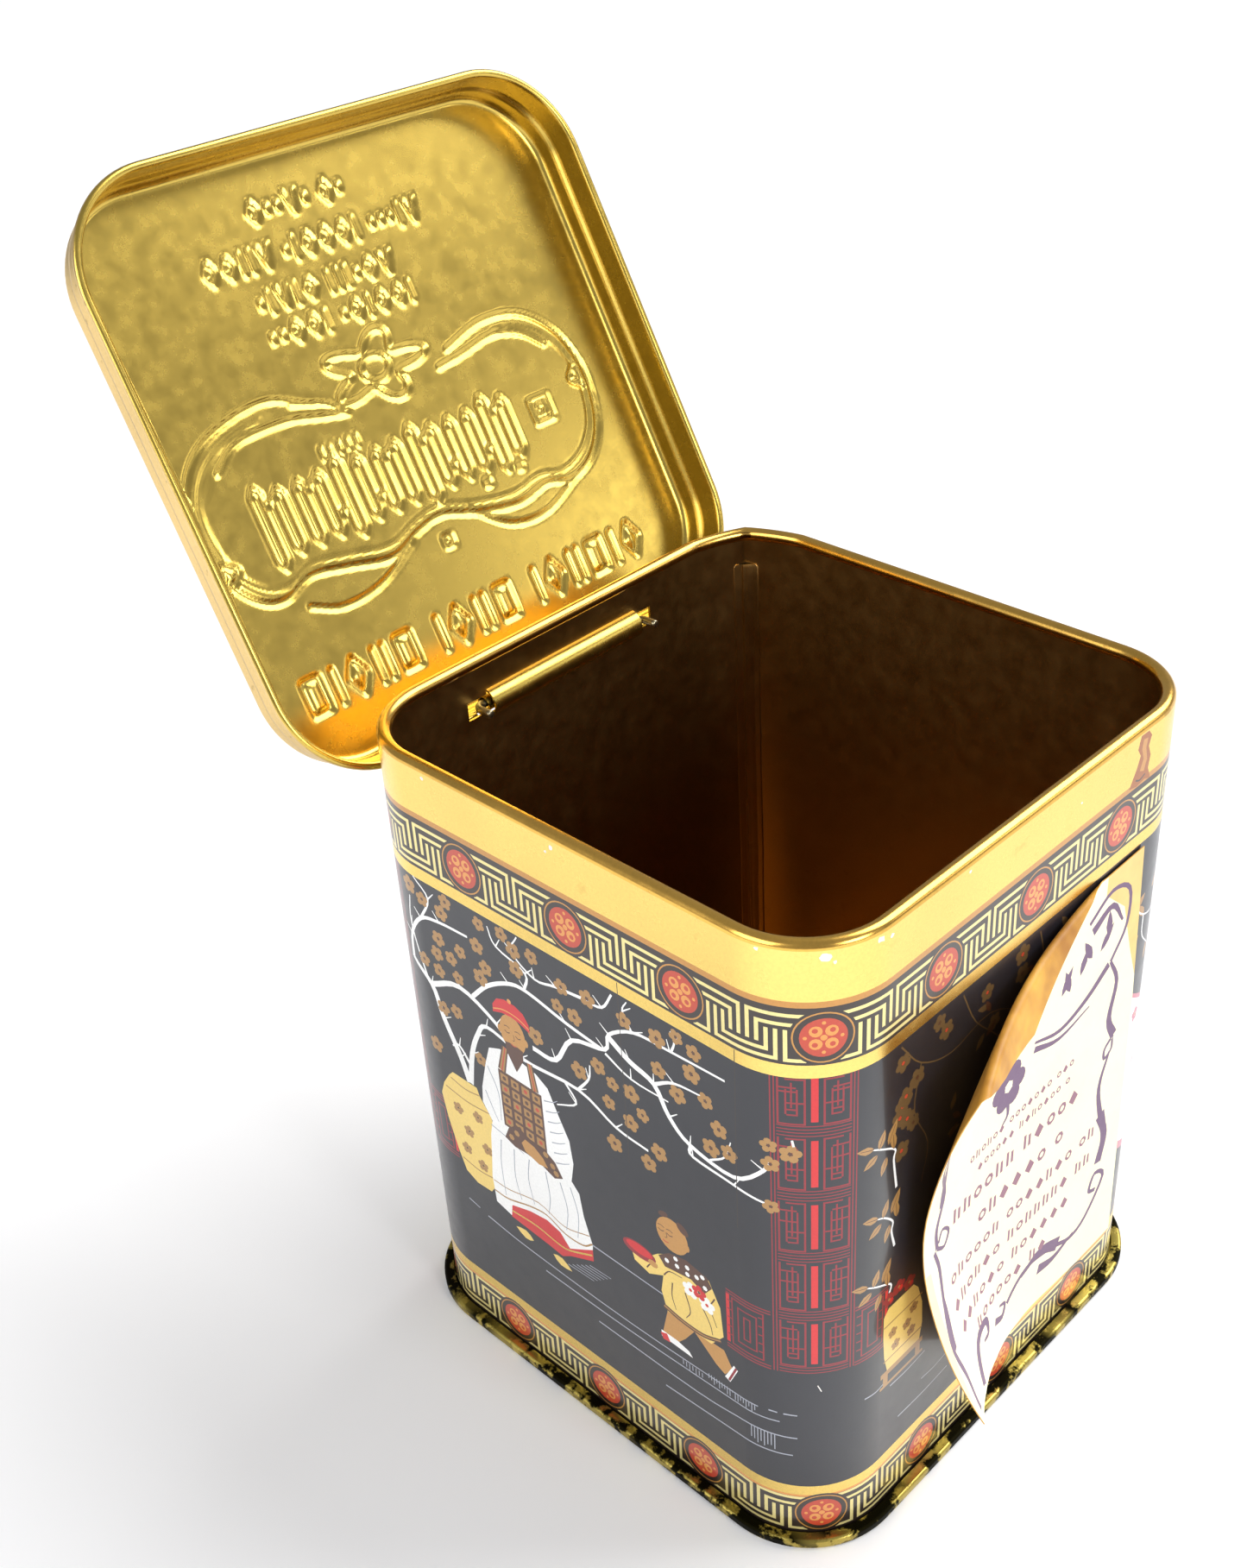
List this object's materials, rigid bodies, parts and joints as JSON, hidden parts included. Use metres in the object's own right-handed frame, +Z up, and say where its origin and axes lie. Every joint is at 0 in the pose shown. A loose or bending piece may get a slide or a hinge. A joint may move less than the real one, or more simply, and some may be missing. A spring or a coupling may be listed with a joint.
{
  "type": "hinged lid tin",
  "caption": "Square printed tinplate tin with rounded upright corners, a rolled rim and a hinged shallow lid standing open.",
  "frame": {"origin": "centre of the bottom panel's underside, 2.0 mm above the plane the tin stands on", "axes": "+Z up, +Y towards the hinge wall and the open lid, +X to the right as seen from the front wall with the label"},
  "size_m": [0.0844, 0.1358, 0.1645],
  "materials": {
    "printed_tinplate": "gloss varnish over print on tinplate, light rubbing and small scratches",
    "tarnished_gold_tinplate": "gold lacquer on tinplate, dark mottled tarnish on the seam",
    "gold_lacquered_tinplate": "satin gold lacquer on tinplate, embossed, small dark specks",
    "steel_wire": "drawn steel wire, slightly dull",
    "label_paper": "coated cream paper, dull, aged adhesive on the back"
  },
  "bodies": {
    "tin": {"body_shell": "printed_tinplate", "bottom_end": "tarnished_gold_tinplate", "hinge_pin": "steel_wire", "paper_label": "label_paper"},
    "lid": {"lid": "gold_lacquered_tinplate"}
  },
  "joints": [
    {"name": "lid_hinge", "type": "hinge", "parent": "tin", "child": "lid", "pos_m": [0, 0.04, 0.0909], "axis": [1, 0, 0], "range_deg": [0, 118]}
  ]
}
